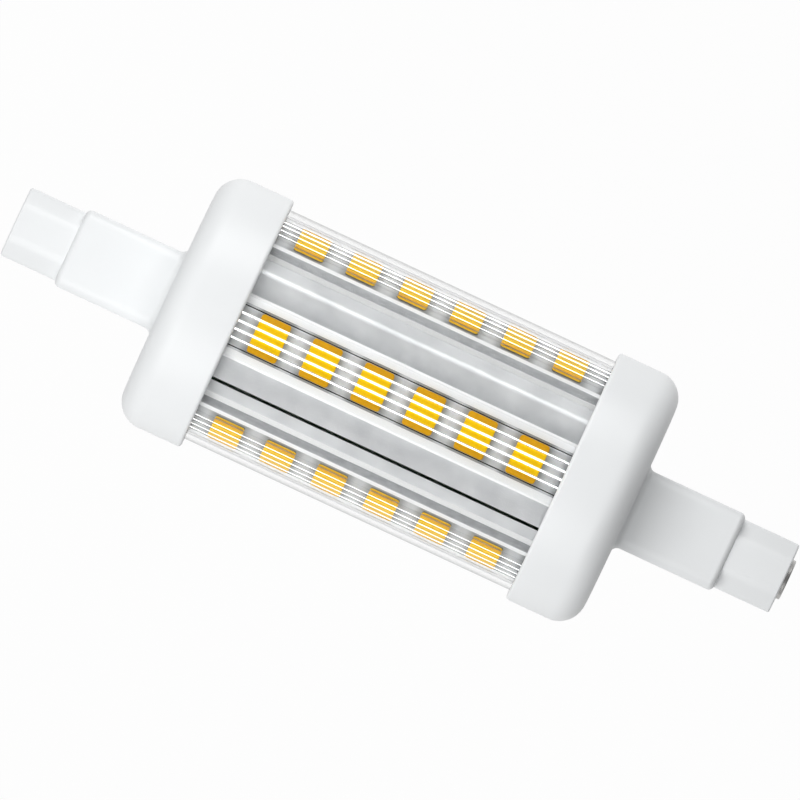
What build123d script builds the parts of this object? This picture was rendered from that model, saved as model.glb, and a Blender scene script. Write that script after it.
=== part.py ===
from build123d import *
import os
from math import cos, hypot, radians, sin, sqrt, tan

# Double-ended linear LED lamp, in millimetres. Its axis is X, the first LED row faces +Z,
# and the origin is the middle of the lamp on its axis.

# Lengths along the lamp
glow_length = 33.0  # clear cover that shows between the two cap rims
cap_length = 6.9  # round cap, from its rim to its outer face
cap_end_wall = 2.0  # wall behind the cap's outer face
neck_length = 10.0
base_length = 5.6  # chamfered block at the tip, which the lampholder takes

# Hexagonal sleeve, folded from aluminium sheet, which carries the LED boards
row_count = 6  # flats of the sleeve, each with one row of LEDs
sink_apothem = 9.25  # axis to the outside of a flat
sink_wall = 0.6
sink_bend_inside = 0.2  # inner radius of the folds
sink_seam = 0.3  # open gap where the two edges of the sheet meet
seam_offset = 0.03  # from the corner of its fold, towards the first row

# LED rows: a thermal pad, an aluminium-core board and the LEDs
board_width = 5.7  # the pad under it is as wide
pad_thickness = 0.42
board_thickness = 0.8
leds_per_row = 6
led_gap_left = 1.8  # left cap rim to the first LED
led_gap_right = 2.15
led_length = 2.93  # along the lamp
led_width = 3.74
led_height = 0.3
led_corner = 0.3

# Clear extruded cover, with fine ribs on its inside in front of each row, between two grooves
led_clearance = 0.12  # LED edges to the inside of the cover
cover_wall = 0.55
ribs_per_row = 4
rib_spacing = 4.07  # degrees about the axis
rib_width = 0.2
rib_height = 0.115
groove_width = 0.1
groove_depth = 0.1

# Moulded end caps
cap_fit = 0.05  # radial room between the cover and the cap
cap_wall = 0.85
cap_round = 2.5  # shoulder between the cap's side and its outer face
rim_edge = 0.3
neck_width = 7.75
neck_wall = 1.3
neck_corner = 1.1  # radius
neck_root = 0.65  # sloped ring where the neck leaves the cap
neck_end_edge = 0.5
neck_end_wall = 0.8
base_width = 6.87
base_chamfer = 1.8
base_tip_edge = 0.18
collar_wall = 0.7  # short square collar inside the cap that centres the link board

# Contacts, which are alike, in seats of two depths
contact_diameter = 3.9
contact_head = 1.0
contact_edge = 0.15
contact_dish_diameter = 2.6
contact_dish_depth = 0.25
contact_proud = 0.38  # right end, out of its block
contact_sunk = 0.3  # left end, into its block
contact_fit = 0.04  # radial room round the head and the shank
shank_diameter = 1.9
shank_tail = 1.2  # shank left free inside the neck, for the lead

# Link boards and driver board
end_board_thickness = 1.0
end_board_corner = 2.0
link_fit = 0.05  # room round the collar and round the driver board's tongues
tongue_width = 2.0
tongue_web = 1.0  # link board left between the collar and a tongue
driver_thickness = 1.0
driver_side_gap = 1.0  # driver board to the sleeve

# Lead wires, which lie along the axis on top of the driver board
lead_diameter = 0.8
lead_landing = 2.5  # length that lies on the driver board
solder_width = 1.8
solder_edge = 0.3

# Parts on the driver board, in a row along it
part_gap = 1.5
fuse_length = 6.1
fuse_width = 2.5
fuse_end = 1.5  # length of each metal end
fuse_end_step = 0.12
rectifier_length = 3.9
rectifier_width = 4.8
rectifier_height = 2.4
chip_length = 4.9
chip_width = 3.9
chip_height = 1.5
pin_width = 0.45
pin_thickness = 0.2
pin_reach = 1.0
pin_spacing = 1.27
rectifier_pin_spacing = 2.5
capacitor_diameter = 6.3
capacitor_headroom = 1.5  # can to the sleeve above it
capacitor_edge = 0.4
choke_width = 6.0
choke_height = 4.2
choke_corner = 0.9
choke_edge = 0.35
choke_foot = 0.2

# Section, worked out from the axis outwards
row_angle = 360 / row_count
sink_inside = sink_apothem - sink_wall
sink_bend = sink_bend_inside + sink_wall
pad_top = sink_apothem + pad_thickness
board_top = pad_top + board_thickness
led_top = board_top + led_height
cover_bore = hypot(led_top, led_width / 2) + led_clearance
cover_radius = cover_bore + cover_wall
cap_bore = cover_radius + cap_fit
cap_radius = cap_bore + cap_wall

# Stations along the lamp, from its middle, and along a cap, from its rim
cup_depth = cap_length - cap_end_wall
cap_reach = cap_length + neck_length + base_length
inner_half = glow_length / 2 + cup_depth
sleeve_half = inner_half - end_board_thickness
tip_half = glow_length / 2 + cap_reach
first_led = led_gap_left + led_length / 2 - glow_length / 2
led_pitch = (glow_length - led_gap_left - led_gap_right - led_length) / (leds_per_row - 1)
cavity_width = neck_width - 2 * neck_wall
cavity_end = cap_length + neck_length - neck_end_wall
collar_width = cavity_width + 2 * collar_wall
seat_depth = {"left": contact_head + contact_sunk, "right": contact_head - contact_proud}
shank_length = base_length + neck_end_wall - seat_depth["right"] + shank_tail

# Driver board, under the leads
driver_top = -lead_diameter / 2
driver_bottom = driver_top - driver_thickness
tongue_offset = collar_width / 2 + tongue_web + tongue_width / 2 + 2 * link_fit


def row_turn(row):
    """Turn about the lamp's axis that takes the first LED row to this one."""
    return Rot(-row_angle * row, 0, 0)


def end_place(side):
    """Place of a cap's rim, with the cap's own Z pointing out of the lamp."""
    way = 1 if side == "right" else -1
    return Location((way * glow_length / 2, 0, 0), (0, way * 90, 0))


def bar(diameter, length):
    """Round bar that stands on its end at the origin."""
    return Cylinder(diameter / 2, length, align=(Align.CENTER, Align.CENTER, Align.MIN))


def sleeve_outline(apothem, bend):
    """Polygon with one flat to each LED row and rounded folds."""
    polygon = RegularPolygon(
        apothem, row_count, major_radius=False, rotation=90 - row_angle / 2, align=None
    )
    return fillet(polygon.vertices(), bend)


def end_cap(depth):
    """White moulding: round cup, square neck and chamfered base block, with a contact seat this deep."""
    cup = bar(2 * cap_radius, cap_length)
    cup = fillet(cup.edges().group_by(Axis.Z)[-1], cap_round)
    cup = chamfer(cup.edges().group_by(Axis.Z)[0], rim_edge)

    neck_section = RectangleRounded(neck_width, neck_width, neck_corner)
    neck = Pos(0, 0, cup_depth) * extrude(neck_section, cap_end_wall + neck_length)
    neck = chamfer(neck.edges().group_by(Axis.Z)[-1], neck_end_edge)

    block_section = Rectangle(base_width, base_width)
    block_section = chamfer(block_section.vertices(), base_chamfer)
    block = Pos(0, 0, cavity_end) * extrude(block_section, neck_end_wall + base_length)
    block = chamfer(block.edges().group_by(Axis.Z)[-1], base_tip_edge)

    body = cup + neck
    root = body.edges().filter_by_position(Axis.Z, cap_length, cap_length)
    root = [e for e in root if hypot(e.center().X, e.center().Y) < neck_width / sqrt(2)]
    body = chamfer(root, neck_root) + block

    body -= bar(2 * cap_bore, cup_depth)
    collar = extrude(Rectangle(collar_width, collar_width), end_board_thickness)
    body += Pos(0, 0, cup_depth - end_board_thickness) * collar
    body -= extrude(Rectangle(cavity_width, cavity_width), cavity_end)
    body -= bar(shank_diameter + 2 * contact_fit, cap_reach)
    body -= Pos(0, 0, cap_reach - depth) * bar(contact_diameter + 2 * contact_fit, depth)
    return body


def contact():
    """Plated contact: a dished round head on a shank, with the head's underside at the origin."""
    head = bar(contact_diameter, contact_head)
    head = chamfer(head.edges().group_by(Axis.Z)[-1], contact_edge)
    head -= Pos(0, 0, contact_head - contact_dish_depth) * bar(contact_dish_diameter, contact_dish_depth)
    return head + Pos(0, 0, -shank_length) * bar(shank_diameter, shank_length)


def clear_cover():
    """Clear tube, smooth outside, with V ribs inside in front of each LED row and a V groove beside them."""
    rib = Polygon(
        (-rib_width, cover_bore + rib_height),
        (rib_width, cover_bore + rib_height),
        (0, cover_bore - rib_height),
        align=None,
    )
    ribs = [
        Rot(0, 0, row_angle * row + rib_spacing * (i - (ribs_per_row - 1) / 2)) * rib
        for row in range(row_count)
        for i in range(ribs_per_row)
    ]
    groove = Polygon(
        (-groove_width, cover_bore - groove_depth),
        (groove_width, cover_bore - groove_depth),
        (0, cover_bore + groove_depth),
        align=None,
    )
    grooves = [
        Rot(0, 0, row_angle * row + side * rib_spacing * (ribs_per_row + 1) / 2) * groove
        for row in range(row_count)
        for side in (-1, 1)
    ]
    section = Circle(cover_radius) - Circle(cover_bore) + ribs - grooves
    return extrude(Plane.YZ * section, inner_half, both=True)


def heat_sink():
    """Folded sleeve, open along one fold beside the first LED row."""
    section = sleeve_outline(sink_apothem, sink_bend) - sleeve_outline(sink_inside, sink_bend_inside)
    seam = Rectangle(sink_seam, cover_bore, align=(Align.CENTER, Align.MIN))
    section -= Pos(seam_offset - sink_apothem * tan(radians(row_angle / 2)), 0) * seam
    return extrude(Plane.YZ * section, sleeve_half, both=True)


def thermal_pads():
    """White pads, one on each flat of the sleeve."""
    pad = extrude(Rectangle(2 * sleeve_half, board_width), pad_thickness)
    return Compound([row_turn(row) * Pos(0, 0, sink_apothem) * pad for row in range(row_count)])


def led_board(row):
    """Board on a pad, which laps the link boards at both ends."""
    board = extrude(Rectangle(2 * inner_half, board_width), board_thickness)
    return row_turn(row) * Pos(0, 0, pad_top) * board


def led(row, place):
    """Flat LED package on its board."""
    section = chamfer(Rectangle(led_length, led_width).vertices(), led_corner)
    return row_turn(row) * Pos(first_led + led_pitch * place, 0, board_top) * extrude(section, led_height)


def end_board(side):
    """Link board across the end of the sleeve, on the cap's collar, with slots for the driver board."""
    section = sleeve_outline(pad_top, end_board_corner)
    section -= Rectangle(collar_width + 2 * link_fit, collar_width + 2 * link_fit)
    slot = Rectangle(tongue_width + 2 * link_fit, driver_thickness + 2 * link_fit)
    slot_height = (driver_top + driver_bottom) / 2
    section -= [Pos(way * tongue_offset, slot_height) * slot for way in (-1, 1)]
    start = sleeve_half if side == "right" else -inner_half
    return extrude(Plane.YZ.offset(start) * section, end_board_thickness)


def driver_half_width():
    """Half the width that the sleeve leaves the driver board, at the board's lower and upper face."""
    room = []
    for row in range(row_count):
        across = sin(radians(row_angle * row))
        up = cos(radians(row_angle * row))
        if across > 0.01:
            room += [(sink_inside - z * up) / across for z in (driver_bottom, driver_top)]
    return min(room) - driver_side_gap


def driver_board():
    """Board along the inside of the sleeve, with two tongues at each end."""
    outline = Rectangle(2 * sleeve_half, 2 * driver_half_width())
    for way in (-1, 1):
        outline += Pos(0, way * tongue_offset) * Rectangle(2 * inner_half, tongue_width)
    return Pos(0, 0, driver_bottom) * extrude(outline, driver_thickness)


def lead(side):
    """Wire from the end of a contact's shank to a solder joint on the driver board."""
    way = 1 if side == "right" else -1
    landing = sleeve_half - lead_landing
    tail = tip_half - seat_depth[side] - shank_length
    wire = Pos(landing, 0, 0) * Rot(0, 90, 0) * bar(lead_diameter, tail - landing)
    joint = extrude(Rectangle(solder_width, solder_width), lead_diameter / 2)
    joint = chamfer(joint.edges().group_by(Axis.Z)[-1], solder_edge)
    wire += Pos(landing, 0, driver_top) * joint
    return wire if way > 0 else mirror(wire, Plane.YZ)


def fuse():
    """Square ceramic fuse across the board, on its two metal ends."""
    body = extrude(Rectangle(fuse_width, fuse_length), fuse_width)
    end_width = fuse_width + 2 * fuse_end_step
    for way in (-1, 1):
        end = Box(end_width, fuse_end, end_width, align=(Align.CENTER, Align.CENTER, Align.MIN))
        body += Pos(0, way * (fuse_length - fuse_end) / 2, -fuse_end_step) * end
    return Pos(0, 0, driver_top + fuse_end_step) * body


def pinned_package(length, width, height, pins, spacing):
    """Flat moulded package with a row of bent pins along both long sides, standing on the board."""
    body = Box(length, width, height, align=(Align.CENTER, Align.CENTER, Align.MIN))
    shoulder = height / 2
    for way in (-1, 1):
        for i in range(pins):
            along = spacing * (i - (pins - 1) / 2)
            arm = Box(pin_width, pin_reach, pin_thickness)
            body += Pos(along, way * (width + pin_reach) / 2, shoulder) * arm
            foot = Box(
                pin_width, pin_thickness, shoulder, align=(Align.CENTER, Align.CENTER, Align.MIN)
            )
            body += Pos(along, way * (width / 2 + pin_reach - pin_thickness / 2), 0) * foot
    return Pos(0, 0, driver_top) * body


def bulk_capacitor():
    """Electrolytic can, standing on the board."""
    can = bar(capacitor_diameter, sink_inside - driver_top - capacitor_headroom)
    can = chamfer(can.edges().group_by(Axis.Z)[-1], capacitor_edge)
    return Pos(0, 0, driver_top) * can


def choke():
    """Moulded choke with cut corners, on two metal feet."""
    section = chamfer(Rectangle(choke_width, choke_width).vertices(), choke_corner)
    body = Pos(0, 0, choke_foot) * extrude(section, choke_height)
    body = chamfer(body.edges().group_by(Axis.Z)[-1], choke_edge)
    foot = Rectangle(choke_width - 2 * choke_corner, choke_corner)
    for way in (-1, 1):
        body += Pos(0, way * (choke_width - choke_corner) / 2, 0) * extrude(foot, choke_foot)
    return Pos(0, 0, driver_top) * body


def driver_parts():
    """The parts on the driver board, set side by side about its middle."""
    parts = [
        ("fuse", fuse_width, fuse()),
        (
            "bridge_rectifier",
            rectifier_length,
            pinned_package(
                rectifier_length, rectifier_width, rectifier_height, 2, rectifier_pin_spacing
            ),
        ),
        ("bulk_capacitor", capacitor_diameter, bulk_capacitor()),
        ("choke", choke_width, choke()),
        ("driver_ic", chip_length, pinned_package(chip_length, chip_width, chip_height, 4, pin_spacing)),
    ]
    row_length = sum(length for _, length, _ in parts) + part_gap * (len(parts) - 1)
    along = -row_length / 2
    placed = {}
    for name, length, solid in parts:
        placed[name] = Pos(along + length / 2, 0, 0) * solid
        along += length + part_gap
    return placed


def all_nodes():
    """Every piece of the lamp, by name."""
    nodes = {"clear_cover": clear_cover(), "heat_sink": heat_sink(), "thermal_pads": thermal_pads()}
    nodes["driver_board"] = driver_board()
    nodes.update(driver_parts())
    nodes["end_caps"] = Compound([end_place(side) * end_cap(depth) for side, depth in seat_depth.items()])
    for side, depth in seat_depth.items():
        nodes["contact_" + side] = end_place(side) * Pos(0, 0, cap_reach - depth) * contact()
        nodes["end_board_" + side] = end_board(side)
        nodes["lead_" + side] = lead(side)
    for row in range(row_count):
        nodes[f"led_board_{row + 1}"] = led_board(row)
        for place in range(leds_per_row):
            nodes[f"led_{row + 1}_{place + 1}"] = led(row, place)
    return nodes


os.makedirs("parts", exist_ok=True)
for name, solid in all_nodes().items():
    export_step(solid, f"parts/{name}.step")
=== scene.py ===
import math
import bmesh
import bpy
from mathutils import Matrix, Vector


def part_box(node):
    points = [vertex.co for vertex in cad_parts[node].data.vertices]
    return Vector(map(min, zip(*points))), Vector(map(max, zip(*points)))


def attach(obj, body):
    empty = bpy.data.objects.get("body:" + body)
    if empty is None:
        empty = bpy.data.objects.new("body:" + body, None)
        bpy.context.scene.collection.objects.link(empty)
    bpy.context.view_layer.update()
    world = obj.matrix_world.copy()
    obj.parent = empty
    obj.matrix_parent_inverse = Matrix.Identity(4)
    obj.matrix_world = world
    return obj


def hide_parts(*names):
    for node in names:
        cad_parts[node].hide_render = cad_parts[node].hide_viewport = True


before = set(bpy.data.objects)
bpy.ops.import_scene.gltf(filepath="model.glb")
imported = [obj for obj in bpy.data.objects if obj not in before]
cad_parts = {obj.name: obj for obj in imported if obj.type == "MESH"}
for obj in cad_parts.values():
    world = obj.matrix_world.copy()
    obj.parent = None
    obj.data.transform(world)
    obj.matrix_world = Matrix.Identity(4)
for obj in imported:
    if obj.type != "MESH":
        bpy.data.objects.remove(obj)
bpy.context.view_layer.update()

# The sleeve is the heat sink: a hexagon folded from rolled aluminium sheet, with one flat to each
# LED row. Its folds are rounded, and its two edges stop short of each other and leave a dark slit.
mm = 0.001
row_count = 6
row_angle = math.radians(360 / row_count)
sleeve_low, sleeve_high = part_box("heat_sink")
sleeve_apothem = sleeve_high.z
sleeve_wall = 0.6 * mm
fold_radius = 0.8 * mm
fold_steps = 10
seam_gap = 0.3 * mm
seam_offset = 0.03 * mm
section_to_lamp = Matrix(((0, 0, 1, 0), (1, 0, 0, 0), (0, 1, 0, 0), (0, 0, 0, 1)))


def linear(code):
    """Linear colour of an sRGB hex code."""
    parts = [int(code[i:i + 2], 16) / 255 for i in (0, 2, 4)]
    return [c / 12.92 if c <= 0.04045 else ((c + 0.055) / 1.055) ** 2.4 for c in parts] + [1]


def add_node(tree, kind, inputs=None, **settings):
    """Adds a shader node with its settings, and sets or links its inputs."""
    node = tree.nodes.new("ShaderNode" + kind)
    for name, value in settings.items():
        setattr(node, name, value)
    for name, value in (inputs or {}).items():
        if isinstance(value, bpy.types.NodeSocket):
            tree.links.new(value, node.inputs[name])
        else:
            node.inputs[name].default_value = value
    return node


def new_material(name):
    """Empty material, its node tree and the socket that its shader goes into."""
    material = bpy.data.materials.new(name)
    material.use_nodes = True
    material.node_tree.nodes.clear()
    output = material.node_tree.nodes.new("ShaderNodeOutputMaterial")
    return material, material.node_tree, output.inputs["Surface"]


def make_piece(bm, name, materials, sharp=30):
    """Object from a finished bmesh, smooth up to this angle in degrees."""
    mesh = bpy.data.meshes.new(name)
    bm.to_mesh(mesh)
    bm.free()
    for material in materials:
        mesh.materials.append(material)
    mesh.shade_smooth()
    mesh.set_sharp_from_angle(angle=math.radians(sharp))
    piece = bpy.data.objects.new(name, mesh)
    bpy.context.collection.objects.link(piece)
    return piece


def cut_through(bm, point, normal):
    """Cuts every face that crosses a plane, and keeps both sides."""
    bmesh.ops.bisect_plane(
        bm, geom=bm.verts[:] + bm.edges[:] + bm.faces[:], plane_co=point, plane_no=normal,
    )


def draw_out(bm, section, start, stop):
    """Draws a section's faces out between two places along the lamp, and lays them on its axis."""
    bmesh.ops.translate(bm, verts=bm.verts, vec=(0, 0, start))
    drawn = bmesh.ops.extrude_face_region(bm, geom=section, use_keep_orig=True)["geom"]
    far_end = [g for g in drawn if isinstance(g, bmesh.types.BMVert)]
    bmesh.ops.translate(bm, verts=far_end, vec=(0, 0, stop - start))
    bmesh.ops.recalc_face_normals(bm, faces=bm.faces)
    bmesh.ops.transform(bm, matrix=section_to_lamp, verts=bm.verts)


# Mill-finish aluminium: cool grey, cloudy from the rolls, with faint lines along the lamp.
aluminium, tree, surface = new_material("rolled_aluminium_sheet")
coords = add_node(tree, "TexCoord").outputs["Object"]
cloud = add_node(tree, "TexNoise", {"Vector": coords, "Scale": 1 / (2.6 * mm), "Detail": 3})
streak_place = add_node(tree, "Mapping", {"Vector": coords, "Scale": (0.03, 1, 1)})
streak = add_node(tree, "TexNoise", {
    "Vector": streak_place.outputs[0], "Scale": 1 / (0.2 * mm), "Detail": 2,
})
tone = add_node(tree, "Mix", {
    0: cloud.outputs[0], 6: linear("C4C6C8"), 7: linear("F4F5F6"),
}, data_type="RGBA")
grain = add_node(tree, "Bump", {"Strength": 0.15, "Distance": 0.01 * mm, "Height": streak.outputs[0]})
shader = add_node(tree, "BsdfPrincipled", {
    "Base Color": tone.outputs[2], "Metallic": 0.4, "Roughness": 0.5, "Normal": grain.outputs[0],
})
tree.links.new(shader.outputs[0], surface)

bm = bmesh.new()
corner = sleeve_apothem / math.cos(row_angle / 2)
hexagon = bmesh.ops.create_circle(bm, segments=row_count, radius=corner, cap_ends=True)["verts"]
bmesh.ops.rotate(bm, verts=hexagon, matrix=Matrix.Rotation(row_angle / 2, 3, "Z"))
seam_corner = min(hexagon, key=lambda v: (v.co - Vector((-corner / 2, sleeve_apothem, 0))).length)
folds = [v for v in hexagon if v != seam_corner]
bmesh.ops.bevel(
    bm, geom=folds, offset=fold_radius * math.tan(row_angle / 2), affect="VERTICES",
    segments=fold_steps, profile=0.5, material=-1,
)
hollow = bm.faces[:]
bmesh.ops.inset_region(bm, faces=hollow, thickness=sleeve_wall, use_boundary=True, use_even_offset=True)
bmesh.ops.delete(bm, geom=hollow, context="FACES")
seam_place = seam_offset - corner * math.sin(row_angle / 2)
for sheet_edge in (seam_place - seam_gap / 2, seam_place + seam_gap / 2):
    cut_through(bm, (sheet_edge, 0, 0), (1, 0, 0))
slit = []
for face in bm.faces:
    centre = face.calc_center_median()
    if centre.y > 0 and abs(centre.x - seam_place) < seam_gap / 2:
        slit.append(face)
bmesh.ops.delete(bm, geom=slit, context="FACES")
draw_out(bm, bm.faces[:], sleeve_low.x, sleeve_high.x)
sleeve = make_piece(bm, "folded_sleeve", [aluminium])
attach(sleeve, "root")
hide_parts("heat_sink")

# The pads are strips of white silicone, one on each flat, that carry heat from the boards into the
# sleeve. They are soft, so the boards have pressed their edges out along the foot.
pads_low, pads_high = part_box("thermal_pads")
pad_width = 5.7 * mm
pad_flare = 0.25 * mm
pad_edge = 0.03 * mm
pad_low = Vector((pads_low.x, -pad_width / 2, sleeve_apothem))
pad_high = Vector((pads_high.x, pad_width / 2, pads_high.z))


def row_turn(row):
    """Turn about the lamp's axis that takes the first row to this one."""
    return Matrix.Rotation(-row_angle * row, 3, "X")


def start_block(bm, low, high):
    """Block between two corners, from which a piece is worked."""
    block = bmesh.ops.create_cube(bm)["verts"]
    bmesh.ops.scale(bm, vec=high - low, verts=block)
    bmesh.ops.translate(bm, vec=(high + low) / 2, verts=block)
    return block


# Filled silicone: chalk white and dull, with a grain from its filler, drawn coarser than it is so that
# it shows.
silicone, tree, surface = new_material("white_thermal_silicone")
coords = add_node(tree, "TexCoord").outputs["Object"]
filler = add_node(tree, "TexNoise", {"Vector": coords, "Scale": 1 / (0.25 * mm), "Detail": 2})
tone = add_node(tree, "Mix", {
    0: filler.outputs[0], 6: linear("F8F8F8"), 7: linear("FDFDFC"),
}, data_type="RGBA")
grain = add_node(tree, "Bump", {"Strength": 0.2, "Distance": 0.02 * mm, "Height": filler.outputs[0]})
shader = add_node(tree, "BsdfPrincipled", {
    "Base Color": tone.outputs[2], "Roughness": 0.6, "IOR": 1.41, "Normal": grain.outputs[0],
})
tree.links.new(shader.outputs[0], surface)

bm = bmesh.new()
for row in range(row_count):
    pad = start_block(bm, pad_low, pad_high)
    foot = [v for v in pad if v.co.z < pad_low.z + pad_edge]
    bmesh.ops.scale(bm, vec=(1, 1 + 2 * pad_flare / pad_width, 1), verts=foot)
    bmesh.ops.rotate(bm, matrix=row_turn(row), verts=pad)
bmesh.ops.bevel(
    bm, geom=bm.edges[:], offset=pad_edge, affect="EDGES", segments=3, profile=0.5, material=-1,
)
pads = make_piece(bm, "silicone_pads", [silicone], sharp=50)
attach(pads, "root")
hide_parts("thermal_pads")

# The LED boards are strips of aluminium sheet under white solder mask, sheared to width, so that
# their long edges show the bare, torn metal of the core.
board_low, board_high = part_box("led_board_1")
board_edge = 0.04 * mm
mask_facing = 0.9  # faces that rise less than this are bare metal

# Solder mask: opaque white lacquer, satin, slightly uneven over the copper below it.
mask_white, tree, surface = new_material("white_solder_mask")
coords = add_node(tree, "TexCoord").outputs["Object"]
flow = add_node(tree, "TexNoise", {"Vector": coords, "Scale": 1 / (1.2 * mm), "Detail": 3})
tone = add_node(tree, "Mix", {
    0: flow.outputs[0], 6: linear("F8F9FA"), 7: linear("FDFDFD"),
}, data_type="RGBA")
unevenness = add_node(tree, "Bump", {"Strength": 0.15, "Distance": 0.02 * mm, "Height": flow.outputs[0]})
shader = add_node(tree, "BsdfPrincipled", {
    "Base Color": tone.outputs[2], "Roughness": 0.4, "Normal": unevenness.outputs[0],
})
tree.links.new(shader.outputs[0], surface)

# Mask along the middle strip: painted greyer, as shade, and darker still as a painted shadow that
# reaches out from each LED's ends.
first_low, first_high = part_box("led_1_1")
second_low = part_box("led_1_2")[0]
led_pitch = second_low.x - first_low.x
led_length = first_high.x - first_low.x
led_shadow_reach = 0.9 * mm
shade_strip_half = 2.2 * mm
mask_painted_shade, tree, surface = new_material("white_mask_painted_shade")
coords = add_node(tree, "TexCoord").outputs["Object"]
along = add_node(tree, "SeparateXYZ", {0: coords}).outputs["X"]
offset = add_node(tree, "Math", {0: along, 1: (first_low.x + first_high.x) / 2}, operation="SUBTRACT")
nearest = add_node(tree, "Math", {0: offset.outputs[0], 1: led_pitch / 2}, operation="PINGPONG")
# Painted shadow: the mask darkens next to each LED's ends and fades out over this reach.
led_shadow = add_node(tree, "MapRange", {
    "Value": nearest.outputs[0], "From Min": led_length / 2, "From Max": led_length / 2 + led_shadow_reach,
}, interpolation_type="SMOOTHSTEP")
flow = add_node(tree, "TexNoise", {"Vector": coords, "Scale": 1 / (1.2 * mm), "Detail": 3})
plain = add_node(tree, "Mix", {
    0: flow.outputs[0], 6: linear("CDCFD1"), 7: linear("D9DBDC"),
}, data_type="RGBA")
tone = add_node(tree, "Mix", {
    0: led_shadow.outputs[0], 6: linear("9DA0A2"), 7: plain.outputs[2],
}, data_type="RGBA")
shader = add_node(tree, "BsdfPrincipled", {"Base Color": tone.outputs[2], "Roughness": 0.45})
tree.links.new(shader.outputs[0], surface)

# Sheared aluminium: dull grey and mottled, rough from the blade.
sheared, tree, surface = new_material("sheared_aluminium_edge")
coords = add_node(tree, "TexCoord").outputs["Object"]
tear_place = add_node(tree, "Mapping", {"Vector": coords, "Scale": (0.4, 1, 1)})
tear = add_node(tree, "TexNoise", {
    "Vector": tear_place.outputs[0], "Scale": 1 / (0.35 * mm), "Detail": 4,
})
tone = add_node(tree, "Mix", {
    0: tear.outputs[0], 6: linear("A9ABAD"), 7: linear("D9DADB"),
}, data_type="RGBA")
rough = add_node(tree, "Bump", {"Strength": 0.5, "Distance": 0.05 * mm, "Height": tear.outputs[0]})
shader = add_node(tree, "BsdfPrincipled", {
    "Base Color": tone.outputs[2], "Metallic": 0.3, "Roughness": 0.6, "Normal": rough.outputs[0],
})
tree.links.new(shader.outputs[0], surface)

board_finishes = [mask_white, mask_painted_shade, sheared]
for row in range(row_count):
    bm = bmesh.new()
    start_block(bm, board_low, board_high)
    bmesh.ops.bevel(
        bm, geom=bm.edges[:], offset=board_edge, affect="EDGES", segments=2, profile=0.5, material=-1,
    )
    bmesh.ops.recalc_face_normals(bm, faces=bm.faces)
    # The middle strip between these cuts takes the painted shade.
    for shade_strip_edge in (-shade_strip_half, shade_strip_half):
        cut_through(bm, (0, shade_strip_edge, 0), (0, 1, 0))
    for face in bm.faces:
        if face.normal.z < mask_facing:
            finish = sheared
        elif abs(face.calc_center_median().y) < shade_strip_half:
            finish = mask_painted_shade
        else:
            finish = mask_white
        face.material_index = board_finishes.index(finish)
    bmesh.ops.rotate(bm, matrix=row_turn(row), verts=bm.verts)
    board = make_piece(bm, f"led_strip_{row + 1}", board_finishes)
    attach(board, "root")
    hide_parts(f"led_board_{row + 1}")

# The LEDs are flat packages filled to the edge with silicone that holds yellow phosphor, six to a
# board, soldered down on pads that they hide.
leds_per_row = 6
led_corner = 0.28 * mm
led_edge = 0.07 * mm
shaded_margin = 0.56 * mm
shadowed_foot = 0.1 * mm
top_facing = 0.2  # faces that rise more than this are the package's top

# Phosphor in silicone: vivid yellow and dull, grainy from the powder in it, drawn coarser than it is.
# It is given a faint painted glow, which stands in for the yellow it turns daylight's blue into.
phosphor, tree, surface = new_material("yellow_phosphor_silicone")
coords = add_node(tree, "TexCoord").outputs["Object"]
powder = add_node(tree, "TexNoise", {"Vector": coords, "Scale": 1 / (0.3 * mm), "Detail": 3})
tone = add_node(tree, "Mix", {
    0: powder.outputs[0], 6: linear("FFC90E"), 7: linear("FFD322"),
}, data_type="RGBA")
grain = add_node(tree, "Bump", {"Strength": 0.2, "Distance": 0.01 * mm, "Height": powder.outputs[0]})
# The emission here is a painted glow; the LED is not lit.
shader = add_node(tree, "BsdfPrincipled", {
    "Base Color": tone.outputs[2], "Roughness": 0.45, "IOR": 1.41, "Specular IOR Level": 0.0,
    "Normal": grain.outputs[0], "Emission Color": linear("FFC818"), "Emission Strength": 0.22,
})
tree.links.new(shader.outputs[0], surface)

# Phosphor along the long edges: painted deeper orange, as shade.
phosphor_painted_shade, tree, surface = new_material("orange_phosphor_painted_shade")
coords = add_node(tree, "TexCoord").outputs["Object"]
powder = add_node(tree, "TexNoise", {"Vector": coords, "Scale": 1 / (0.3 * mm), "Detail": 3})
tone = add_node(tree, "Mix", {
    0: powder.outputs[0], 6: linear("E8A81C"), 7: linear("F4B92C"),
}, data_type="RGBA")
grain = add_node(tree, "Bump", {"Strength": 0.2, "Distance": 0.01 * mm, "Height": powder.outputs[0]})
shader = add_node(tree, "BsdfPrincipled", {
    "Base Color": tone.outputs[2], "Roughness": 0.45, "IOR": 1.41, "Specular IOR Level": 0.0,
    "Normal": grain.outputs[0],
})
tree.links.new(shader.outputs[0], surface)

# Lead frame and solder: dull grey-brown, painted dark as a shadow line round each LED's foot.
frame_and_foot_shadow, tree, surface = new_material("lead_frame_painted_foot_shadow")
coords = add_node(tree, "TexCoord").outputs["Object"]
flux = add_node(tree, "TexNoise", {"Vector": coords, "Scale": 1 / (0.2 * mm), "Detail": 2})
tone = add_node(tree, "Mix", {
    0: flux.outputs[0], 6: linear("77736A"), 7: linear("8F8A80"),
}, data_type="RGBA")
shader = add_node(tree, "BsdfPrincipled", {"Base Color": tone.outputs[2], "Roughness": 0.6})
tree.links.new(shader.outputs[0], surface)

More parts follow.
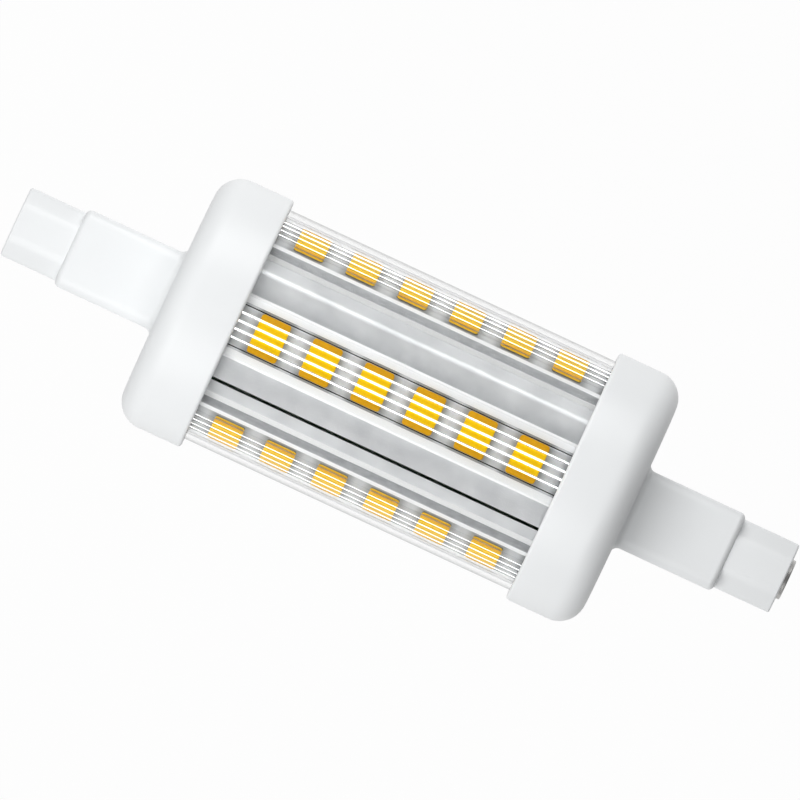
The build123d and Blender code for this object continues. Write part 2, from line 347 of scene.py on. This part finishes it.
led_finishes = [phosphor, phosphor_painted_shade, frame_and_foot_shadow]
for row in range(row_count):
    for place in range(leds_per_row):
        led_low, led_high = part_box(f"led_1_{place + 1}")
        middle_half = led_high.y - shaded_margin
        foot_top = led_low.z + shadowed_foot
        bm = bmesh.new()
        start_block(bm, led_low, led_high)
        upright = [e for e in bm.edges if abs(e.verts[0].co.z - e.verts[1].co.z) > led_edge]
        bmesh.ops.bevel(
            bm, geom=upright, offset=led_corner, affect="EDGES", segments=6, profile=0.5, material=-1,
        )
        rim = [e for e in bm.edges if all(v.co.z > led_high.z - led_edge / 2 for v in e.verts)]
        bmesh.ops.bevel(
            bm, geom=rim, offset=led_edge, affect="EDGES", segments=3, profile=0.5, material=-1,
        )
        bmesh.ops.recalc_face_normals(bm, faces=bm.faces)
        for margin_edge in (-middle_half, middle_half):
            cut_through(bm, (0, margin_edge, 0), (0, 1, 0))
        cut_through(bm, (0, 0, foot_top), (0, 0, 1))
        for face in bm.faces:
            centre = face.calc_center_median()
            # The band at the foot is painted shadow.
            if centre.z < foot_top:
                finish = frame_and_foot_shadow
            # The long edges of the top take the painted shade.
            elif face.normal.z > top_facing and abs(centre.y) > middle_half:
                finish = phosphor_painted_shade
            else:
                finish = phosphor
            face.material_index = led_finishes.index(finish)
        bmesh.ops.rotate(bm, matrix=row_turn(row), verts=bm.verts)
        led = make_piece(bm, f"led_package_{row + 1}_{place + 1}", led_finishes)
        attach(led, "root")
        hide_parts(f"led_{row + 1}_{place + 1}")

# The driver sits inside the sleeve and its link boards close the sleeve's ends, all hidden once the
# lamp is put together. They keep their solids and get the finish of such parts: two colours, the
# roughness, the metallic share and the grain's size in millimetres.
hidden_finishes = {
    "glass_epoxy_board": (
        ["driver_board", "end_board_left", "end_board_right"], "1B4D2B", "27603A", 0.45, 0, 0.6,
    ),
    "tinned_copper_wire": (["lead_left", "lead_right"], "A9A9A5", "C9C8C2", 0.35, 1, 0.3),
    "glazed_ceramic": (["fuse"], "D2CDBD", "E4DFD0", 0.3, 0, 0.5),
    "moulded_epoxy": (["bridge_rectifier", "driver_ic"], "17181A", "26282A", 0.6, 0, 0.2),
    "shrunk_sleeve": (["bulk_capacitor"], "15182B", "20253D", 0.3, 0, 1.5),
    "moulded_iron_powder": (["choke"], "3A3938", "504E4B", 0.75, 0, 0.15),
}
for name, (nodes, dark, light, roughness, metallic, grain_size) in hidden_finishes.items():
    material, tree, surface = new_material(name)
    coords = add_node(tree, "TexCoord").outputs["Object"]
    speck = add_node(tree, "TexNoise", {"Vector": coords, "Scale": 1 / (grain_size * mm), "Detail": 2})
    tone = add_node(tree, "Mix", {
        0: speck.outputs[0], 6: linear(dark), 7: linear(light),
    }, data_type="RGBA")
    shader = add_node(tree, "BsdfPrincipled", {
        "Base Color": tone.outputs[2], "Roughness": roughness, "Metallic": metallic,
    })
    tree.links.new(shader.outputs[0], surface)
    for node in nodes:
        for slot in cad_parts[node].material_slots:
            slot.material = material

# The cover is an extruded tube of clear polycarbonate, smooth outside. On its inside four V ribs
# and a V groove at either side of them run along in front of each LED row, to spread the light.
cover_low, cover_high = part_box("clear_cover")
cover_radius = cover_high.z
cover_wall = 0.55 * mm
cover_bore = cover_radius - cover_wall
ribs_per_row = 4
rib_height = 0.115 * mm
groove_width = 0.1 * mm
groove_depth = 0.1 * mm

# The bore is drawn in equal steps: so many to a row, and so many from one rib to the next. A rib is two
# steps wide.
row_steps = 118
rib_steps = 8
cover_steps = row_count * row_steps
step_width = cover_bore * row_angle / row_steps

# Polycarbonate: water clear and glossy, with faint draw lines along it and hardly any mirror image
# where it is looked at squarely, and painted grey along its outline, as a painted dark reflection where the
# eye grazes the wall.
polycarbonate, tree, surface = new_material("clear_polycarbonate")
coords = add_node(tree, "TexCoord").outputs["Object"]
draw_place = add_node(tree, "Mapping", {"Vector": coords, "Scale": (0.02, 1, 1)})
draw_lines = add_node(tree, "TexNoise", {
    "Vector": draw_place.outputs[0], "Scale": 1 / (0.5 * mm), "Detail": 2,
})
clear = add_node(tree, "Mix", {
    0: draw_lines.outputs[0], 6: linear("F8F9F9"), 7: linear("FEFEFE"),
}, data_type="RGBA")
graze = add_node(tree, "LayerWeight", {"Blend": 0.5})
# Painted dark reflection: the colour greys towards the outline.
outline_painted_grey = add_node(tree, "MapRange", {
    "Value": graze.outputs["Facing"], "From Min": 0.78, "From Max": 0.9,
})
tone = add_node(tree, "Mix", {
    0: outline_painted_grey.outputs[0], 6: clear.outputs[2], 7: linear("404446"),
}, data_type="RGBA")
shader = add_node(tree, "BsdfPrincipled", {
    "Base Color": tone.outputs[2], "Roughness": 0.0, "IOR": 1.585, "Transmission Weight": 1,
    "Specular Tint": linear("202020"),
})
tree.links.new(shader.outputs[0], surface)

bm = bmesh.new()
bore = bmesh.ops.create_circle(bm, segments=cover_steps, radius=cover_bore)["verts"]
crests, grooves = [], []
for i, vert in enumerate(bore):
    step = (i + row_steps // 2) % row_steps - row_steps // 2
    if step % rib_steps != rib_steps // 2:
        continue
    if abs(step) < rib_steps * ribs_per_row / 2:
        crests.append(vert)
    elif abs(step) < rib_steps * (ribs_per_row / 2 + 1):
        grooves.append(vert)
narrowed = groove_width / 2 / step_width
for vert in grooves:
    beside = [e.other_vert(vert) for e in vert.link_edges]
    bmesh.ops.scale(bm, vec=(narrowed, narrowed, 1), space=Matrix.Translation(-vert.co), verts=beside)
for verts, radius in ((crests, cover_bore - rib_height), (grooves, cover_bore + groove_depth)):
    bmesh.ops.scale(bm, vec=(radius / cover_bore, radius / cover_bore, 1), verts=verts)
bmesh.ops.create_circle(bm, segments=cover_steps, radius=cover_radius)
end_face = bmesh.ops.bridge_loops(bm, edges=bm.edges[:])["faces"]
draw_out(bm, end_face, cover_low.x, cover_high.x)
cover = make_piece(bm, "clear_tube", [polycarbonate])
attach(cover, "root")
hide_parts("clear_cover")

# The end caps are white mouldings, alike but for the depth of the contact's seat: a round cup over
# the tube's end, a square neck with rounded edges, and the chamfered block that the holder takes.
ends = {"left": -1, "right": 1}
glow_half = 16.5 * mm
cap_radius = min(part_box("end_caps")[1].yz)
cap_length = 6.9 * mm
shoulder = 2.6 * mm
rim_round = 0.35 * mm
cap_bore = 11.65 * mm
cup_depth = 4.9 * mm
neck_half = 7.75 * mm / 2
neck_corner = 1.15 * mm
neck_length = 10.0 * mm
neck_root = 0.7 * mm
neck_end_round = 0.55 * mm
cavity_half = 5.15 * mm / 2
cavity_end = 16.1 * mm
collar_half = 6.55 * mm / 2
collar_length = 1.0 * mm
block_half = 6.87 * mm / 2
block_chamfer = 1.8 * mm
block_edge = 0.6 * mm
block_tip_round = 0.2 * mm
block_length = 5.6 * mm
seat_radius = 3.98 * mm / 2
shank_hole = 1.98 * mm / 2
seat_depths = {"left": 1.3 * mm, "right": 0.62 * mm}
neck_foot = cap_length + neck_root
neck_end = cap_length + neck_length
tip = neck_end + block_length
cup_sides = 144
seat_sides = 48
round_steps = 10

# Rings on the cup's flat face and floor, clear of the square's corners, where the fill between round
# and square begins.
face_ring_half = 6.975 * mm
floor_ring_half = 5.24 * mm


def arc(half, height, radius, start, stop):
    """Stations of half-width and height along an arc about this point, between angles in degrees."""
    turns = [math.radians(start + (stop - start) * i / round_steps) for i in range(round_steps + 1)]
    return [(half + radius * math.cos(a), height + radius * math.sin(a)) for a in turns]


def draw_ring(bm, ring, stations):
    """Draws a ring of edges on through stations of half-width and height, and returns the last ring."""
    half, height = stations[0]
    for next_half, next_height in stations[1:]:
        drawn = bmesh.ops.extrude_edge_only(bm, edges=ring)["geom"]
        verts = [g for g in drawn if isinstance(g, bmesh.types.BMVert)]
        bmesh.ops.scale(bm, vec=(next_half / half, next_half / half, 1), verts=verts)
        bmesh.ops.translate(bm, vec=(0, 0, next_height - height), verts=verts)
        made = set(verts)
        ring = [g for g in drawn if isinstance(g, bmesh.types.BMEdge) and made.issuperset(g.verts)]
        half, height = next_half, next_height
    return ring


def start_ring(bm, half, height, sides, corners=()):
    """Ring of edges at this height: round, or a square with its corners cut by (length, steps) in turn."""
    square = sides == 4
    reach = half * math.sqrt(2) if square else half
    verts = bmesh.ops.create_circle(bm, segments=sides, radius=reach, cap_ends=bool(corners))["verts"]
    if square:
        bmesh.ops.rotate(bm, verts=verts, matrix=Matrix.Rotation(math.pi / sides, 3, "Z"))
    for length, steps in corners:
        bmesh.ops.bevel(
            bm, geom=verts, offset=length, affect="VERTICES", segments=steps, profile=0.5, material=-1,
        )
        polygon = max(bm.faces, key=lambda face: len(face.verts))
        verts = polygon.verts[:]
    edges = list({e for v in verts for e in v.link_edges})
    if corners:
        bmesh.ops.delete(bm, geom=[polygon], context="FACES_ONLY")
    bmesh.ops.translate(bm, verts=verts, vec=(0, 0, height))
    return edges


def fill_flat(bm, outer, inner):
    """Flat face between two rings of edges at the same height."""
    bmesh.ops.triangle_fill(bm, edges=outer + inner, use_beauty=True, normal=(0, 0, 1))


# Moulded PBT: clean white, satin, with a very fine spark-eroded texture from the mould, drawn coarser
# than it is so that it shows.
moulded_white, tree, surface = new_material("moulded_white_pbt")
coords = add_node(tree, "TexCoord").outputs["Object"]
flow = add_node(tree, "TexNoise", {"Vector": coords, "Scale": 1 / (6 * mm), "Detail": 2})
pits = add_node(tree, "TexNoise", {"Vector": coords, "Scale": 1 / (0.15 * mm), "Detail": 2})
tone = add_node(tree, "Mix", {
    0: flow.outputs[0], 6: linear("E8EAEB"), 7: linear("EDEFF0"),
}, data_type="RGBA")
texture = add_node(tree, "Bump", {"Strength": 0.15, "Distance": 0.01 * mm, "Height": pits.outputs[0]})
shader = add_node(tree, "BsdfPrincipled", {
    "Base Color": tone.outputs[2], "Roughness": 0.4, "Normal": texture.outputs[0],
})
tree.links.new(shader.outputs[0], surface)

for side, way in ends.items():
    # Cup: from its flat face over the shoulder and the rim to its floor.
    bm = bmesh.new()
    face_ring = start_ring(bm, face_ring_half, cap_length, cup_sides)
    floor_ring = draw_ring(
        bm, face_ring,
        [(face_ring_half, cap_length)]
        + arc(cap_radius - shoulder, cap_length - shoulder, shoulder, 90, 0)
        + arc(cap_radius - rim_round, rim_round, rim_round, 0, -90)
        + [(cap_bore, 0), (cap_bore, cup_depth), (floor_ring_half, cup_depth)],
    )

    # Neck: down to its rounded root on the cup, and up to its rounded end.
    neck_sides = start_ring(bm, neck_half, neck_foot, 4, [(neck_corner, 8)])
    root_ring = draw_ring(bm, neck_sides, arc(neck_half + neck_root, neck_foot, neck_root, 180, 270))
    fill_flat(bm, face_ring, root_ring)
    neck_ring = draw_ring(
        bm, neck_sides,
        [(neck_half, neck_foot)]
        + arc(neck_half - neck_end_round, neck_end - neck_end_round, neck_end_round, 0, 90),
    )

    # Block: from the neck's end to the tip, and in through the contact's seat and the shank's hole.
    block_sides = start_ring(bm, block_half, neck_end, 4, [(block_chamfer, 1), (block_edge, 4)])
    fill_flat(bm, neck_ring, block_sides)
    tip_ring = draw_ring(
        bm, block_sides,
        [(block_half, neck_end)]
        + arc(block_half - block_tip_round, tip - block_tip_round, block_tip_round, 0, 90),
    )
    seat_ring = start_ring(bm, seat_radius, tip, seat_sides)
    fill_flat(bm, tip_ring, seat_ring)
    seat_floor = tip - seat_depths[side]
    hole_ring = draw_ring(
        bm, seat_ring,
        [(seat_radius, tip), (seat_radius, seat_floor)]
        + [(shank_hole, seat_floor), (shank_hole, cavity_end)],
    )

    # Cavity: from the shank's hole down the neck to the collar that carries the link board.
    cavity_ring = start_ring(bm, cavity_half, cavity_end, 4)
    fill_flat(bm, cavity_ring, hole_ring)
    collar_top = cup_depth - collar_length
    collar_ring = draw_ring(
        bm, cavity_ring,
        [(cavity_half, cavity_end), (cavity_half, collar_top)]
        + [(collar_half, collar_top), (collar_half, cup_depth)],
    )
    fill_flat(bm, floor_ring, collar_ring)
    bmesh.ops.recalc_face_normals(bm, faces=bm.faces)
    bmesh.ops.rotate(bm, matrix=Matrix.Rotation(way * math.pi / 2, 3, "Y"), verts=bm.verts)
    bmesh.ops.translate(bm, vec=(way * glow_half, 0, 0), verts=bm.verts)
    cap = make_piece(bm, f"moulded_cap_{side}", [moulded_white])
    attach(cap, "root")
    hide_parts("end_caps")

# The contacts are turned from steel and nickel plated: a dished round head in the block's seat, on
# a shank that goes through into the neck. The right one stands proud and the left one is sunk.
contact_head = 1.0 * mm
contact_radius = 3.9 * mm / 2
contact_round = 0.12 * mm
dish_radius = 2.6 * mm / 2
dish_depth = 0.25 * mm
dish_slope = 0.1 * mm
shank_radius = 1.9 * mm / 2
contact_sides = 64

# Nickel plate: warm grey metal with fine turning rings and a few dull patches. Blender's wave pattern
# has one ring in every pi / 10 of its own unit.
turning_feed = 0.08 * mm
nickel, tree, surface = new_material("nickel_plated_steel")
coords = add_node(tree, "TexCoord").outputs["Object"]
patch = add_node(tree, "TexNoise", {"Vector": coords, "Scale": 1 / (0.7 * mm), "Detail": 3})
tone = add_node(tree, "Mix", {
    0: patch.outputs[0], 6: linear("8B8A88"), 7: linear("C9C8C6"),
}, data_type="RGBA")
rings = add_node(tree, "TexWave", {
    "Vector": coords, "Scale": math.pi / 10 / turning_feed,
}, wave_type="RINGS", rings_direction="X")
cuts = add_node(tree, "Bump", {"Strength": 0.3, "Distance": 0.004 * mm, "Height": rings.outputs["Fac"]})
shader = add_node(tree, "BsdfPrincipled", {
    "Base Color": tone.outputs[2], "Metallic": 1, "Roughness": 0.32, "Normal": cuts.outputs[0],
})
tree.links.new(shader.outputs[0], surface)

for side, way in ends.items():
    contact_low, contact_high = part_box("contact_" + side)
    tail, front = sorted((way * contact_low.x, way * contact_high.x))
    head_back = front - contact_head
    bm = bmesh.new()
    ring = start_ring(bm, dish_radius, front - dish_depth, contact_sides)
    bmesh.ops.contextual_create(bm, geom=ring)
    ring = draw_ring(
        bm, ring,
        [(dish_radius, front - dish_depth), (dish_radius + dish_slope, front)]
        + arc(contact_radius - contact_round, front - contact_round, contact_round, 90, 0)
        + [(contact_radius, head_back), (shank_radius, head_back), (shank_radius, tail)],
    )
    bmesh.ops.contextual_create(bm, geom=ring)
    bmesh.ops.recalc_face_normals(bm, faces=bm.faces)
    bmesh.ops.rotate(bm, matrix=Matrix.Rotation(way * math.pi / 2, 3, "Y"), verts=bm.verts)
    contact = make_piece(bm, f"plated_contact_{side}", [nickel])
    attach(contact, "root")
    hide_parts("contact_" + side)

# The studio: a white floor below the lamp, a dim dome that is brighter over the left end, and three
# soft boxes above the lamp's long sides. Seen directly the floor is white, and it takes the shadow.
floor_drop = 45 * mm
floor_size = 3.0
white_share = 0.97

# White paper: plain and dull. It is seen as white, also in gloss and through the tube, but lights the
# lamp only as paper does.
floor_white, tree, surface = new_material("white_paper_floor")
rays = add_node(tree, "LightPath")
seen = add_node(tree, "Math", {
    0: rays.outputs["Is Camera Ray"], 1: rays.outputs["Is Glossy Ray"],
}, operation="MAXIMUM")
seen = add_node(tree, "Math", {
    0: seen.outputs[0], 1: rays.outputs["Is Transmission Ray"],
}, operation="MAXIMUM")
no_dull_bounce = add_node(tree, "Math", {0: rays.outputs["Diffuse Depth"], 1: 0.5}, operation="LESS_THAN")
seen = add_node(tree, "Math", {0: seen.outputs[0], 1: no_dull_bounce.outputs[0]}, operation="MULTIPLY")
share = add_node(tree, "Math", {0: seen.outputs[0], 1: white_share}, operation="MULTIPLY")
paper = add_node(tree, "BsdfDiffuse", {"Color": linear("BCBCBC")})
white = add_node(tree, "Emission", {"Color": linear("FFFFFF"), "Strength": 1})
both = add_node(tree, "MixShader", {0: share.outputs[0], 1: paper.outputs[0], 2: white.outputs[0]})
tree.links.new(both.outputs[0], surface)

bm = bmesh.new()
bmesh.ops.create_grid(bm, x_segments=1, y_segments=1, size=floor_size / 2)
bmesh.ops.translate(bm, vec=(0, 0, -floor_drop), verts=bm.verts)
make_piece(bm, "floor", [floor_white])

dome_direction = Vector((-0.5, 0, 0.87))
dome_dim, dome_bright = 0.06, 0.39
side_start, side_bright = 0.35, 0.5
scene = bpy.context.scene
scene.world = bpy.data.worlds.new("studio_dome")
scene.world.use_nodes = True
tree = scene.world.node_tree
direction = add_node(tree, "TexCoord").outputs["Generated"]
facing = add_node(tree, "VectorMath", {0: direction, 1: dome_direction}, operation="DOT_PRODUCT")
dome = add_node(tree, "MapRange", {
    "Value": facing.outputs["Value"], "From Min": 0, "From Max": 1,
    "To Min": dome_dim, "To Max": dome_bright,
}, interpolation_type="SMOOTHSTEP")
sideways = add_node(tree, "VectorMath", {0: direction, 1: (0, 1, 0)}, operation="DOT_PRODUCT")
sideways = add_node(tree, "Math", {0: sideways.outputs["Value"]}, operation="ABSOLUTE")
fill = add_node(tree, "MapRange", {
    "Value": sideways.outputs[0], "From Min": side_start, "From Max": 1, "To Min": 0, "To Max": side_bright,
}, interpolation_type="SMOOTHSTEP")
level = add_node(tree, "Math", {0: dome.outputs[0], 1: fill.outputs[0]}, operation="ADD")
tree.links.new(level.outputs[0], tree.nodes["Background"].inputs["Strength"])
tree.nodes["Background"].inputs["Color"].default_value = linear("FFFFFF")

box_distance = 160 * mm
box_length = 150 * mm
soft_boxes = {
    "soft_box_back": ((-0.2, 0.85, 0.49), 100 * mm, 0.163),
    "soft_box_front": ((-0.2, -0.62, 0.76), 100 * mm, 0.145),
    "strip_box_front": ((-0.2, -0.88, 0.42), 50 * mm, 0.033),
}
for name, (place, box_width, watts) in soft_boxes.items():
    box = bpy.data.objects.new(name, bpy.data.lights.new(name, "AREA"))
    box.data.shape = "RECTANGLE"
    box.data.size = box_length
    box.data.size_y = box_width
    box.data.energy = watts
    outward = Vector(place).normalized()
    upright = outward.cross((1, 0, 0)).normalized()
    box.location = outward * box_distance
    box.rotation_euler = Matrix((upright.cross(outward), upright, outward)).transposed().to_euler()
    bpy.context.collection.objects.link(box)

# The camera looks straight down on the first LED row through a long lens, turned so that the lamp
# runs down to the right. Mirror images stay unblurred, or the ribs lose their bright lines.
lamp_slope = math.radians(24.97)
view_width = 73.65 * mm
sensor, lens = 36, 1000
camera = bpy.data.objects.new("camera", bpy.data.cameras.new("camera"))
camera.data.sensor_width = sensor
camera.data.lens = lens
camera.location = (0, 0, view_width * lens / sensor)
camera.rotation_euler = (0, 0, lamp_slope)
camera.data.clip_end = 10
bpy.context.collection.objects.link(camera)
scene.camera = camera
scene.view_settings.view_transform = "Standard"
scene.cycles.blur_glossy = 0
